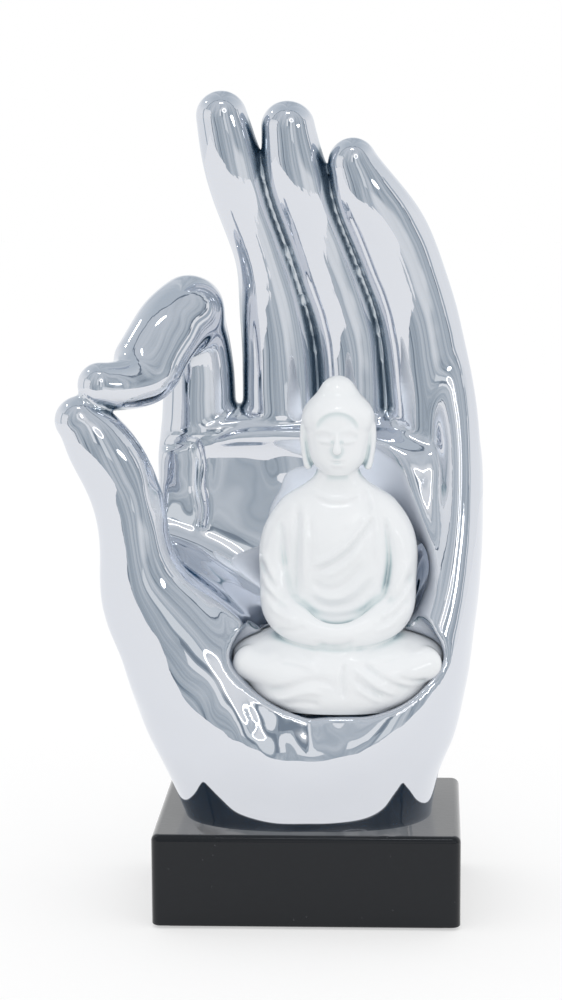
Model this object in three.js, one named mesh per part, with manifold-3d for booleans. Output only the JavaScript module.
// Buddha in hand sculpture: a hollow, mirror-plated ceramic hand on a black lacquered plinth, with a
// white glazed figure seated in its cupped palm. Two bolts come up through the plinth into threaded
// inserts in a plug cast in the hand's foot, and three bond pads hold the figure on its seat.
// Millimetres, +Z up, the front is -Y, and the origin is the centre of the felt's underside.
import * as THREE from "three";
import { mergeVertices } from "three/addons/utils/BufferGeometryUtils.js";
import Module from "manifold-3d";

const wasm = await Module();
wasm.setup();

// Plinth, and the felt under it
const PLINTH_WIDTH = 137;
const PLINTH_DEPTH = 100;
const PLINTH_HEIGHT = 41.5;
const PLINTH_CORNER = 4; // radius of the upright corners
const PLINTH_ROUND = 3; // round-over of the top edges
const PLINTH_BREAK = 0.8; // and of the bottom ones
const FELT_THICKNESS = 1.2;
const FELT_INSET = 4; // from the plinth's sides

// Fixing of the hand on the plinth
const CLEARANCE = 0.3; // between pieces that fit in each other
const OVERRUN = 1; // of a cut past the face that it opens
const BOLT_SPACING = 50;
const BOLT_RADIUS = 3;
const BOLT_LENGTH = 40; // under the head
const BOLT_HEAD_RADIUS = 5;
const BOLT_HEAD_HEIGHT = 6;
const SOCKET_RADIUS = 2.9; // hexagon socket, to its corners
const SOCKET_DEPTH = 3;
const WASHER_RADIUS = 9;
const WASHER_THICKNESS = 1.6;
const COUNTERBORE_RADIUS = 11;
const COUNTERBORE_DEPTH = 14;
const INSERT_RADIUS = 5.5;
const INSERT_LENGTH = 18;
const PLUG_HEIGHT = 26;

// Hand
const WALL = 7; // ceramic round the hand's hollow
const SEAT_X = 13.5; // middle of the figure's seat
const SEAT_Y = -18.5;
const SEAT_HEIGHT = 53; // above the hand's foot
const SEAT_CLEARANCE = 1.2; // round the figure's skirt
const PALM_FACE_Y = 13.5; // deepest part of the palm's face
const CREASE_RADIUS = 2.4; // fold under the fingers

// Seated figure
const PAD_RADIUS = 4;
const PAD_THICKNESS = 1;
const PAD_CIRCLE = 16; // radius on which the three pads lie
const VENT_WIDTH = 20; // casting vent in the figure's base
const VENT_DEPTH = 14;
const VENT_REACH = 10; // of the vent's cut, up into the hollow

const PLINTH_TOP = FELT_THICKNESS + PLINTH_HEIGHT;
const COUNTERBORE_TOP = FELT_THICKNESS + COUNTERBORE_DEPTH;
const BOLT_SEAT = COUNTERBORE_TOP - WASHER_THICKNESS;

const lacquer = new THREE.MeshStandardMaterial({ color: "#2e2e30", roughness: 0.45, metalness: 0 });
const felt = new THREE.MeshStandardMaterial({ color: "#1c1c1e", roughness: 1, metalness: 0 });
const chrome = new THREE.MeshStandardMaterial({ color: "#d9dee6", roughness: 0.05, metalness: 1 });
const glaze = new THREE.MeshStandardMaterial({ color: "#eef1f4", roughness: 0.15, metalness: 0 });
const steel = new THREE.MeshStandardMaterial({ color: "#b9bcc0", roughness: 0.35, metalness: 1 });
const brass = new THREE.MeshStandardMaterial({ color: "#c9a45a", roughness: 0.35, metalness: 1 });
const plaster = new THREE.MeshStandardMaterial({ color: "#e4e0d6", roughness: 0.9, metalness: 0 });
const adhesive = new THREE.MeshStandardMaterial({ color: "#d8d8d0", roughness: 0.6, metalness: 0 });

// The hand's heel and palm before its hollows are cut: rows of [height above the foot, left, right,
// front, back], which are the edges of a level oval there.
const PALM_ROWS = [
  [0, -56.5, 55.5, -40, 40],
  [12.5, -61.7, 57.5, -45, 42.5],
  [23.5, -66.6, 60.5, -49.5, 44.5],
  [35, -72.3, 65.3, -51, 46.5],
  [50.5, -78.6, 69.3, -48.5, 48.5],
  [65.5, -83.5, 72.3, -42, 49],
  [81.5, -84, 74.5, -35, 49],
  [98.5, -80, 76.2, -28.5, 48.5],
  [113.5, -74, 77, -22.5, 48],
  [128.5, -70.5, 77.5, -17, 47],
  [148, -69.5, 77.3, -9, 46],
  [163, -69.5, 76.4, -2, 45],
  [172, -67.5, 74.5, 8, 43],
  [177, -64, 71.5, 14, 40],
  [181, -57, 66, 21, 35],
];
const PALM_POWER = 2.7; // how far its ovals square up
const MOUTH_POWER = 12; // and those of the seat's mouth, nearly to a rectangle
const CORE_TOP = 150; // how high the casting's hollow goes behind the palm's face

// The hollow of the palm, in such rows. It runs out of the hand's front, and its back is the palm's
// face, which comes forward into a ledge under the fingers.
const OPEN_FRONT = -130;
const PALM_HOLLOW = [
  [60, -6, 48, OPEN_FRONT, 2],
  [68, -14, 58, OPEN_FRONT, 8],
  [76, -20, 61.5, OPEN_FRONT, 11.5],
  [86, -24, 62.5, OPEN_FRONT, 13],
  [98, -38, 62.5, OPEN_FRONT, PALM_FACE_Y],
  [108, -54, 62, OPEN_FRONT, PALM_FACE_Y],
  [118, -74, 61.5, OPEN_FRONT, 13],
  [128, -100, 61, OPEN_FRONT, 12.5],
  [145, -115, 60, OPEN_FRONT, 9.5],
  [158, -115, 59.5, OPEN_FRONT, 7.5],
  [164, -115, 60, OPEN_FRONT, 7.5],
  [176, -115, 66, OPEN_FRONT, 12],
];

// Where the fingers fold onto the palm: points along the bottom of the fold.
const CREASE_LINE = [
  [-78, 22, 164.5],
  [-66, 12, 165.3],
  [-52.5, 9, 167],
  [-43.5, 9, 169.5],
  [-33, 10, 173.5],
  [-18.5, 10, 175],
  [0, 10.5, 175.5],
  [19, 10, 175.5],
  [34.5, 8, 175],
  [42, 5.5, 171],
  [50, 5, 167.5],
  [59, 8, 166],
];

// Fingers, thumb and the pad of the heel: stations of [x, y, z, half width, half depth].
const MIDDLE_FINGER = [
  [-12, 28, 155, 17.5, 16],
  [-13.8, 27.5, 178, 17.5, 16],
  [-15, 26.5, 211, 16.6, 15.5],
  [-17.4, 24, 229, 15.4, 14.8],
  [-20.8, 19.5, 248, 13.2, 14],
  [-29, 11.5, 274, 12.8, 13],
  [-35, 4.5, 297, 12.8, 12.4],
  [-38.3, 1.5, 313, 11.2, 11],
];
const RING_FINGER = [
  [21, 28, 155, 16, 16],
  [19.5, 27, 177, 15.8, 16],
  [17.7, 26, 211, 16, 15.5],
  [13.6, 23, 229, 15.6, 14.8],
  [7.6, 18.5, 247, 15, 14],
  [0.4, 12, 268, 14.4, 13.2],
  [-6.2, 4.5, 290, 13.6, 12.6],
  [-8.8, 1.5, 308.5, 11.8, 11.2],
];
const LITTLE_FINGER = [
  [55, 25, 150, 20.5, 18],
  [54.4, 23.5, 176, 19.8, 17.5],
  [52, 21.5, 201, 18.8, 16.5],
  [47, 18, 229, 17.8, 15.6],
  [40.5, 13.5, 248, 17.8, 14.8],
  [33.2, 8, 265, 17, 14],
  [25, 2, 280.5, 14.2, 12.6],
  [19.6, -0.5, 293, 10.6, 10.4],
];
const INDEX_FINGER = [
  [-52, 28, 150, 17.5, 16],
  [-51.8, 27, 178, 17, 15.8],
  [-51.4, 25.5, 196, 16, 15],
  [-51.9, 21.5, 213, 14.4, 14.2],
  [-53.5, 12, 227, 14, 13.6],
];
const INDEX_TIP = [
  [-54, 12, 227, 14.4, 13.4],
  [-59.5, 4, 221.8, 15.8, 13.4],
  [-67.5, -6, 210.3, 15.6, 13],
  [-73.6, -14, 200.2, 14.9, 12.2],
  [-79.2, -21, 196.8, 11.6, 11],
  [-85, -26, 196.5, 10.6, 10.4],
  [-90, -29, 197.5, 9.6, 9.6],
];
const THUMB = [
  [-99.6, -31, 182.5, 10.4, 10],
  [-94.2, -30.5, 176.3, 13.4, 12.2],
  [-87.8, -29.5, 167, 15.2, 13.4],
  [-81.8, -27.5, 154, 15.3, 14],
  [-78, -25.5, 140.5, 15.3, 14.4],
  [-75.6, -23.5, 122.5, 16.4, 15],
  [-71.5, -20.5, 104.5, 21, 16.5],
  [-61, -18, 86, 26, 19],
  [-50, -19, 68, 29, 22.5],
  [-38, -22, 52, 26, 25],
  [-25, -23, 40, 22, 25],
];
const HEEL_PAD = [
  [63, 17, 190, 11, 12],
  [66, 12, 170, 10.5, 14],
  [66.5, 6, 146, 10.5, 16],
  [65, 1, 120, 11.5, 18],
  [59, -7, 90, 14, 20],
  [47, -17, 64, 20, 22.5],
  [34, -22, 46, 22, 25],
  [22, -23, 37, 20, 25],
];

// The figure's crossed legs under the robe, and its body: rows as the palm's, above its own base.
const SKIRT_ROWS = [
  [0, -27, 27, -21, 19],
  [4, -34, 34, -25.5, 22.5],
  [12, -42, 42, -28, 25.5],
  [20, -47, 47, -27.5, 26.5],
  [26.5, -44.5, 44.5, -23, 25.5],
  [31, -34, 34, -17, 22.5],
  [33.5, -24, 24, -13, 19],
];
const KNEES = 3; // their row
const KNEE_HEADROOM = 4; // of the seat above the knees

// The seat's mouth, where it runs out of the hand's front: [height above the seat, left, right], from
// the figure's middle.
const SEAT_MOUTH = [
  [0, -16, 16],
  [4, -30, 30],
  [8.5, -38.5, 38.5],
  [14, -45, 45],
  [22, -48.5, 48.5],
  [30, -48, 48],
  [40, -42, 42],
];
const SKIRT_FACES = { steps: 12, sides: 32 };
const TORSO_ROWS = [
  [26, -24, 24, -15, 21.5],
  [40, -24.5, 24.5, -13.5, 22],
  [55, -26.5, 26.5, -13.5, 23],
  [70, -28.5, 28.5, -13.5, 23.5],
  [81, -28.5, 28.5, -11.5, 23],
  [89, -24, 24, -8.5, 20.5],
  [95, -17, 17, -6, 17],
  [100, -11, 11, -5.5, 13.5],
  [106, -9, 9, -6, 12],
];
const FIGURE_HOLLOW = [
  [5, -12, 12, -9, 10],
  [12, -30, 30, -16, 17],
  [20, -34, 34, -15, 18],
  [29, -18, 18, -6.5, 15.5],
  [55, -19, 19, -5, 17],
  [75, -20, 20, -5, 17],
  [84, -14, 14, -2, 14],
];
const ARM = [
  [21, 6, 86, 8, 10],
  [26.5, 4, 74, 8.2, 11],
  [27, 1, 56, 7.8, 11],
  [25.5, -5, 44, 8.2, 9.5],
  [17, -14, 36, 8, 7],
  [7, -19, 33.5, 6, 5],
  [-3, -20, 33, 5, 4],
];
const SHIN = [
  [38, -12, 20, 8, 9],
  [22, -19.5, 16, 7.5, 8],
  [4, -21, 13.5, 7, 7],
  [-12, -19.5, 14.5, 6, 6],
];

// The head, in the figure's rows and stations.
const HEAD_Y = 1.5;
const HEAD_ROWS = [
  [103, -6, 6, -9.5, 6],
  [107, -10.5, 10.5, -12, 11],
  [114, -13.4, 13.4, -13.2, 14.5],
  [122, -14.6, 14.6, -13.4, 16],
  [130, -14.2, 14.2, -12.5, 15.4],
  [136.5, -10.5, 10.5, -9, 11.5],
  [140, -5, 5, -4, 6.5],
];
const HAIR_BACK = 2.2; // how far its middle lies behind the head's
const HAIR = { z: 127, halfWidth: 16.2, halfDepth: 16.4, halfHeight: 13 };
const TOPKNOT = { z: 138, halfWidth: 8, halfDepth: 8.2, halfHeight: 8.2 };
const EAR = [
  [14.7, 2.5, 124, 2.1, 4],
  [14.9, 2.2, 118, 2, 3.6],
  [14.2, 1.6, 111, 1.8, 2.8],
  [13.2, 1.4, 106.5, 1.9, 2.6],
];
const NOSE = [
  [0, -12.6, 121.5, 1.3, 1.6],
  [0, -14.2, 116.8, 1.9, 1.9],
];

// A closed three.js geometry as a solid for joining and cutting.
function solid(geometry) {
  const bare = geometry.index ? geometry.toNonIndexed() : geometry.clone();
  bare.deleteAttribute("normal");
  bare.deleteAttribute("uv");
  const merged = mergeVertices(bare, 1e-4);
  return new wasm.Manifold(
    new wasm.Mesh({
      numProp: 3,
      vertProperties: new Float32Array(merged.attributes.position.array),
      triVerts: new Uint32Array(merged.index.array),
    }),
  );
}

const union = (shapes) => shapes.reduce((all, next) => all.add(next));

// A solid as a named mesh of its own.
function named(name, shape, material) {
  const made = shape.getMesh();
  const geometry = new THREE.BufferGeometry();
  geometry.setAttribute("position", new THREE.BufferAttribute(made.vertProperties, 3));
  geometry.setIndex(new THREE.BufferAttribute(made.triVerts, 1));
  geometry.computeVertexNormals();
  const mesh = new THREE.Mesh(geometry, material);
  mesh.name = name;
  return mesh;
}

// An upright cylinder between two heights.
function cylinder(radius, bottom, top, x = 0, y = 0, sides = 32) {
  const geometry = new THREE.CylinderGeometry(radius, radius, top - bottom, sides);
  return solid(geometry.rotateX(Math.PI / 2).translate(x, y, (bottom + top) / 2));
}

function ellipsoid(x, y, z, halfX, halfY, halfZ) {
  const geometry = new THREE.SphereGeometry(1, 16, 10).rotateX(Math.PI / 2);
  return solid(geometry.scale(halfX, halfY, halfZ).translate(x, y, z));
}

// A closed skin over rings of points. Each ring runs anticlockwise seen from the last one, and the
// two ends close on a point, which is the ring's own middle unless another is given.
function skin(rings, firstPole, lastPole) {
  const sides = rings[0].length;
  const middle = (ring) => ring.reduce((sum, p) => sum.add(p), new THREE.Vector3()).divideScalar(sides);
  const points = [firstPole ?? middle(rings[0]), ...rings.flat(), lastPole ?? middle(rings.at(-1))];
  const at = (ring, side) => 1 + ring * sides + (side % sides);
  const faces = [];
  for (let side = 0; side < sides; side++) {
    faces.push(0, at(0, side + 1), at(0, side));
    faces.push(points.length - 1, at(rings.length - 1, side), at(rings.length - 1, side + 1));
    for (let ring = 0; ring < rings.length - 1; ring++) {
      faces.push(at(ring, side), at(ring, side + 1), at(ring + 1, side + 1));
      faces.push(at(ring, side), at(ring + 1, side + 1), at(ring + 1, side));
    }
  }
  const geometry = new THREE.BufferGeometry().setFromPoints(points);
  return solid(geometry.setIndex(faces));
}

// Smooth rows of numbers through the given ones.
function smoothRows(rows, steps) {
  const curves = rows[0].map((_, column) => {
    const points = rows.map((row, i) => new THREE.Vector3(row[column], i, 0));
    return new THREE.CatmullRomCurve3(points, false, "catmullrom");
  });
  return Array.from({ length: steps + 1 }, (_, i) => curves.map((curve) => curve.getPoint(i / steps).x));
}

// A limb with domed ends through stations. Its width lies in the plane of the front view.
function limb(stations, { steps = 12, sides = 16, domes = 3 } = {}) {
  const rows = smoothRows(stations, steps);
  const centres = rows.map(([x, y, z]) => new THREE.Vector3(x, y, z));
  const direction = (i) => centres[Math.min(i + 1, steps)].clone().sub(centres[Math.max(i - 1, 0)]).normalize();
  const ring = (centre, along, halfWidth, halfDepth) => {
    const across = new THREE.Vector3().crossVectors(along, new THREE.Vector3(0, 1, 0)).normalize();
    const front = new THREE.Vector3().crossVectors(along, across);
    return Array.from({ length: sides }, (_, i) => {
      const angle = (2 * Math.PI * i) / sides;
      const point = centre.clone().addScaledVector(across, halfWidth * Math.cos(angle));
      return point.addScaledVector(front, halfDepth * Math.sin(angle));
    });
  };
  const beyond = (end, reach) => {
    const outward = end === 0 ? -1 : 1;
    return centres[end].clone().addScaledVector(direction(end), outward * reach);
  };
  const dome = (end) => {
    const [halfWidth, halfDepth] = rows[end].slice(3);
    const height = Math.min(halfWidth, halfDepth);
    return Array.from({ length: domes }, (_, k) => {
      const turn = ((k + 1) / (domes + 1)) * (Math.PI / 2);
      const centre = beyond(end, height * Math.sin(turn));
      return ring(centre, direction(end), halfWidth * Math.cos(turn), halfDepth * Math.cos(turn));
    });
  };
  const body = rows.map((row, i) => ring(centres[i], direction(i), row[3], row[4]));
  const rings = [...dome(0).reverse(), ...body, ...dome(steps)];
  const pole = (end) => beyond(end, Math.min(rows[end][3], rows[end][4]));
  return skin(rings, pole(0), pole(steps));
}

// A solid through level ovals, which square up as power grows past 2.
function stack(rows, { steps = 12, sides = 24, power = 2.3 } = {}) {
  const bent = (value) => Math.sign(value) * Math.abs(value) ** (2 / power);
  const rings = smoothRows(rows, steps).map(([z, left, right, front, back]) =>
    Array.from({ length: sides }, (_, i) => {
      const angle = (2 * Math.PI * i) / sides;
      const x = (left + right) / 2 + ((right - left) / 2) * bent(Math.cos(angle));
      const y = (front + back) / 2 + ((back - front) / 2) * bent(Math.sin(angle));
      return new THREE.Vector3(x, y, z);
    }),
  );
  return skin(rings);
}

const grown = (rows, by) => rows.map(([z, l, r, f, b]) => [z, l - by, r + by, f - by, b + by]);
const mirrored = (stations) => stations.map(([x, ...rest]) => [-x, ...rest]);

// A block with rounded upright corners, and with its bottom and top edges rounded over.
function block(width, depth, bottom, top, corner, bottomRound = 0, topRound = 0) {
  const turns = 4;
  const quarter = Math.PI / 2;
  const ring = (z, inset) =>
    [0, 1, 2, 3].flatMap((side) =>
      Array.from({ length: turns + 1 }, (_, i) => {
        const angle = (side + i / turns) * quarter;
        const signX = side === 0 || side === 3 ? 1 : -1;
        const signY = side < 2 ? 1 : -1;
        const radius = corner - inset;
        const x = signX * (width / 2 - corner) + radius * Math.cos(angle);
        const y = signY * (depth / 2 - corner) + radius * Math.sin(angle);
        return new THREE.Vector3(x, y, z);
      }),
    );
  const edge = (round) => {
    const steps = round === 0 ? 0 : turns;
    return Array.from({ length: steps + 1 }, (_, i) => {
      const angle = steps === 0 ? 0 : (i / steps) * quarter;
      return [round * (1 - Math.sin(angle)), round * (1 - Math.cos(angle))];
    });
  };
  const lower = edge(bottomRound).map(([inset, rise]) => ring(bottom + rise, inset));
  const upper = edge(topRound).map(([inset, rise]) => ring(top - rise, inset));
  return skin([...lower, ...upper.reverse()]);
}

const BOLT_PLACES = [-BOLT_SPACING / 2, BOLT_SPACING / 2];

// Plinth: a block with a counterbored hole for each bolt.
function plinthShape() {
  const edges = [PLINTH_CORNER, PLINTH_BREAK, PLINTH_ROUND];
  const body = block(PLINTH_WIDTH, PLINTH_DEPTH, FELT_THICKNESS, PLINTH_TOP, ...edges);
  const holes = BOLT_PLACES.flatMap((x) => [
    cylinder(BOLT_RADIUS + CLEARANCE, 0, PLINTH_TOP + OVERRUN, x),
    cylinder(COUNTERBORE_RADIUS, 0, COUNTERBORE_TOP, x),
  ]);
  return body.subtract(union(holes));
}

// Felt: a sheet that covers the counterbores.
function feltShape() {
  const inset = 2 * FELT_INSET;
  return block(PLINTH_WIDTH - inset, PLINTH_DEPTH - inset, 0, FELT_THICKNESS, PLINTH_CORNER);
}

function boltShape(x) {
  const shank = cylinder(BOLT_RADIUS, BOLT_SEAT, BOLT_SEAT + BOLT_LENGTH, x, 0, 24);
  const head = cylinder(BOLT_HEAD_RADIUS, BOLT_SEAT - BOLT_HEAD_HEIGHT, BOLT_SEAT, x);
  const underside = BOLT_SEAT - BOLT_HEAD_HEIGHT;
  const socket = cylinder(SOCKET_RADIUS, underside - OVERRUN, underside + SOCKET_DEPTH, x, 0, 6);
  return shank.add(head).subtract(socket);
}

function washerShape(x) {
  const disc = cylinder(WASHER_RADIUS, BOLT_SEAT, COUNTERBORE_TOP, x);
  const hole = cylinder(BOLT_RADIUS + CLEARANCE, BOLT_SEAT - OVERRUN, COUNTERBORE_TOP + OVERRUN, x);
  return disc.subtract(hole);
}

// Insert: a threaded bush, here plain, in the hand's own frame.
function insertShape(x) {
  const bush = cylinder(INSERT_RADIUS, 0, INSERT_LENGTH, x);
  return bush.subtract(cylinder(BOLT_RADIUS + CLEARANCE, -OVERRUN, INSERT_LENGTH + OVERRUN, x, 0, 24));
}

// The casting's hollow: it fills the heel up to a wall under the seat, and goes on behind the palm.
function handHollow(clearance) {
  const inset = WALL + clearance;
  const lowered = [-inset, ...PALM_ROWS[0].slice(1)];
  const inside = stack(grown([lowered, ...PALM_ROWS], -inset), { steps: 14, sides: 32, power: PALM_POWER });
  const heel = block(2 * PLINTH_WIDTH, 2 * PLINTH_WIDTH, -inset, SEAT_HEIGHT - inset, PLINTH_CORNER);
  const behind = block(2 * PLINTH_WIDTH, 2 * PLINTH_WIDTH, 0, CORE_TOP, PLINTH_CORNER);
  const back = behind.translate([0, PLINTH_WIDTH + PALM_FACE_Y + inset, 0]);
  return inside.intersect(heel.add(back));
}

// Plug: plaster cast in the foot's hollow round the inserts.
function plugShape() {
  const slab = block(PLINTH_WIDTH, PLINTH_DEPTH, 0, PLUG_HEIGHT, PLINTH_CORNER);
  const sockets = BOLT_PLACES.map((x) =>
    cylinder(INSERT_RADIUS + CLEARANCE, -OVERRUN, INSERT_LENGTH + CLEARANCE, x),
  );
  return handHollow(CLEARANCE).intersect(slab).subtract(union(sockets));
}

// The seat: the figure's skirt with clearance, open in front of its middle.
function seatCut() {
  const rows = grown(SKIRT_ROWS, SEAT_CLEARANCE).map(([z, ...edges], i) => [
    i > KNEES ? z + KNEE_HEADROOM : z,
    ...edges,
  ]);
  const [, , , front, back] = SKIRT_ROWS[KNEES];
  const mouth = SEAT_MOUTH.map((row) => [...row, OPEN_FRONT, (front + back) / 2]);
  const seat = stack(rows, SKIRT_FACES).add(stack(mouth, { ...SKIRT_FACES, power: MOUTH_POWER }));
  return seat.translate([SEAT_X, SEAT_Y, SEAT_HEIGHT]);
}

function handShape() {
  const palm = stack(PALM_ROWS, { steps: 18, sides: 40, power: PALM_POWER });
  const hollow = stack(PALM_HOLLOW, { steps: 16, sides: 40, power: 3 });
  const fold = CREASE_LINE.map((point) => [...point, CREASE_RADIUS, CREASE_RADIUS]);
  const fingers = [MIDDLE_FINGER, RING_FINGER, LITTLE_FINGER, INDEX_FINGER, INDEX_TIP, THUMB, HEEL_PAD];
  const whole = union([palm.subtract(hollow), ...fingers.map((stations) => limb(stations))]);
  const foot = cylinder(PLINTH_WIDTH, -PLINTH_WIDTH, 0);
  const cuts = union([seatCut(), limb(fold, { steps: 20, sides: 8, domes: 1 }), handHollow(0), foot]);
  return whole.subtract(cuts);
}

// Figure: one casting, hollow, with a vent in its base.
function figureShape() {
  const head = stack(HEAD_ROWS, { steps: 9, sides: 20, power: 2.1 });
  const [hair, knot] = [HAIR, TOPKNOT].map(({ z, halfWidth, halfDepth, halfHeight }) =>
    ellipsoid(0, HEAD_Y + HAIR_BACK, z, halfWidth, halfDepth, halfHeight),
  );
  const pairs = [ARM, SHIN, EAR].flatMap((stations) => [stations, mirrored(stations)]);
  const limbs = [...pairs, NOSE].map((stations) => limb(stations, { steps: 8, sides: 10, domes: 2 }));
  const skirt = stack(SKIRT_ROWS, SKIRT_FACES);
  const body = union([skirt, stack(TORSO_ROWS), head, hair, knot, ...limbs]);
  const bar = new THREE.CylinderGeometry(1, 1, 2 * VENT_REACH, 24).rotateX(Math.PI / 2);
  const vent = solid(bar.scale(VENT_WIDTH / 2, VENT_DEPTH / 2, 1));
  return body.subtract(stack(FIGURE_HOLLOW, { steps: 8, sides: 16 }).add(vent));
}

const sculpture = new THREE.Group();
sculpture.add(named("underside_felt", feltShape(), felt));
sculpture.add(named("plinth_block", plinthShape(), lacquer));

const hand = new THREE.Group();
hand.position.z = PLINTH_TOP;
hand.add(named("hand_casting", handShape(), chrome));
hand.add(named("foot_plug", plugShape(), plaster));
BOLT_PLACES.forEach((x, i) => {
  const side = i === 0 ? "left" : "right";
  sculpture.add(named(`bolt_${side}`, boltShape(x), steel));
  sculpture.add(named(`washer_${side}`, washerShape(x), steel));
  hand.add(named(`threaded_insert_${side}`, insertShape(x), brass));
});
sculpture.add(hand);

const seat = new THREE.Group();
seat.position.set(SEAT_X, SEAT_Y, SEAT_HEIGHT);
for (let i = 0; i < 3; i++) {
  const angle = Math.PI / 2 + (i * 2 * Math.PI) / 3;
  const [x, y] = [PAD_CIRCLE * Math.cos(angle), PAD_CIRCLE * Math.sin(angle)];
  seat.add(named(`bond_pad_${i + 1}`, cylinder(PAD_RADIUS, 0, PAD_THICKNESS, x, y, 20), adhesive));
}
const figure = named("seated_figure", figureShape(), glaze);
figure.position.z = PAD_THICKNESS;
seat.add(figure);
hand.add(seat);

export default sculpture;
